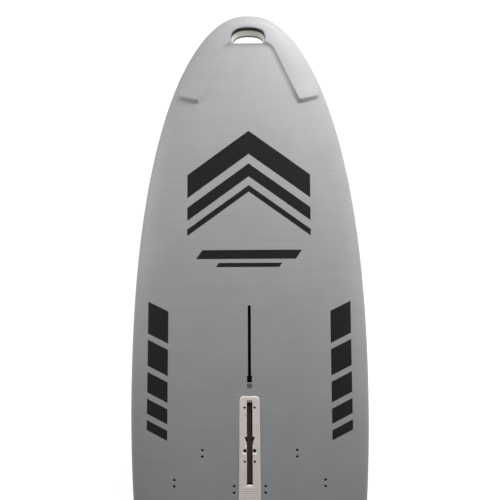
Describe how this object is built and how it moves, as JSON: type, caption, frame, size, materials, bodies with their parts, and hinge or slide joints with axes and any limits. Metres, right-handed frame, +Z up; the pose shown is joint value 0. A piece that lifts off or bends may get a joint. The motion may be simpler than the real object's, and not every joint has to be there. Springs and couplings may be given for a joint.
{
  "type": "windsurf board",
  "caption": "Windsurf board with a scooped nose, hand hole, nose guard, slotted mast track, foot-strap holes, fin box and a daggerboard that folds into a slot under a cassette.",
  "frame": {"origin": "on the flat bottom, at the middle of the board's length and width", "axes": "+Y towards the nose, +Z up through the deck, +X to the right when looking from the tail to the nose"},
  "size_m": [0.7848, 2.6, 0.2033],
  "materials": {
    "foam": "matte",
    "dense_foam": "matte",
    "deck_grey": "satin",
    "bottom_white": "satin",
    "black_plastic": "satin",
    "pale_plastic": "satin",
    "cassette_white": "satin",
    "brass": "satin",
    "grey_plastic": "satin",
    "rubber_black": "matte",
    "dark_steel": "satin",
    "steel": "satin",
    "brown_plastic": "satin",
    "washer_leather": "matte"
  },
  "bodies": {
    "board": {"foam_core": "foam", "track_block": "dense_foam", "fin_block": "dense_foam", "deck_skin": "deck_grey", "nose_guard": "deck_grey", "bottom_skin": "bottom_white", "hand_hole_collar": "black_plastic", "mast_track": "black_plastic", "fin_box": "black_plastic", "front_strap_plugs": "black_plastic", "rear_strap_plugs": "black_plastic", "pin_plungers": "black_plastic", "hand_hole_sleeve": "pale_plastic", "daggerboard_well": "pale_plastic", "cassette": "cassette_white", "vent_bush": "brass", "well_inserts": "brass", "down_stop": "rubber_black", "stow_pad": "rubber_black", "slot_lip_left": "rubber_black", "slot_lip_right": "rubber_black", "cassette_screws": "dark_steel"},
    "daggerboard": {"daggerboard_blade": "brown_plastic", "daggerboard_head": "brown_plastic", "lever_cap": "rubber_black", "pivot_pin": "steel", "friction_washers": "washer_leather", "head_bolts": "steel", "head_nuts": "steel"},
    "vent_ring": {"vent_seal": "rubber_black"},
    "vent_plug": {"vent_screw": "grey_plastic"}
  },
  "joints": [
    {"name": "daggerboard_swing", "type": "hinge", "parent": "board", "child": "daggerboard", "pos_m": [0, -0.144, 0.104], "axis": [1, 0, 0], "range_deg": [0, 90], "deforming": ["slot_lip_left", "slot_lip_right"]},
    {"name": "vent_rise", "type": "slide", "parent": "board", "child": "vent_ring", "axis": [0, 0, 1], "range_m": [0, 0.004]},
    {"name": "vent_turn", "type": "hinge", "parent": "vent_ring", "child": "vent_plug", "pos_m": [0, 0.061, 0.13], "axis": [0, 0, 1], "range_deg": [0, 1440]}
  ],
  "couplings": [
    {"joint": "vent_turn", "follows": "vent_rise", "rad_per_m": 6283.2}
  ]
}
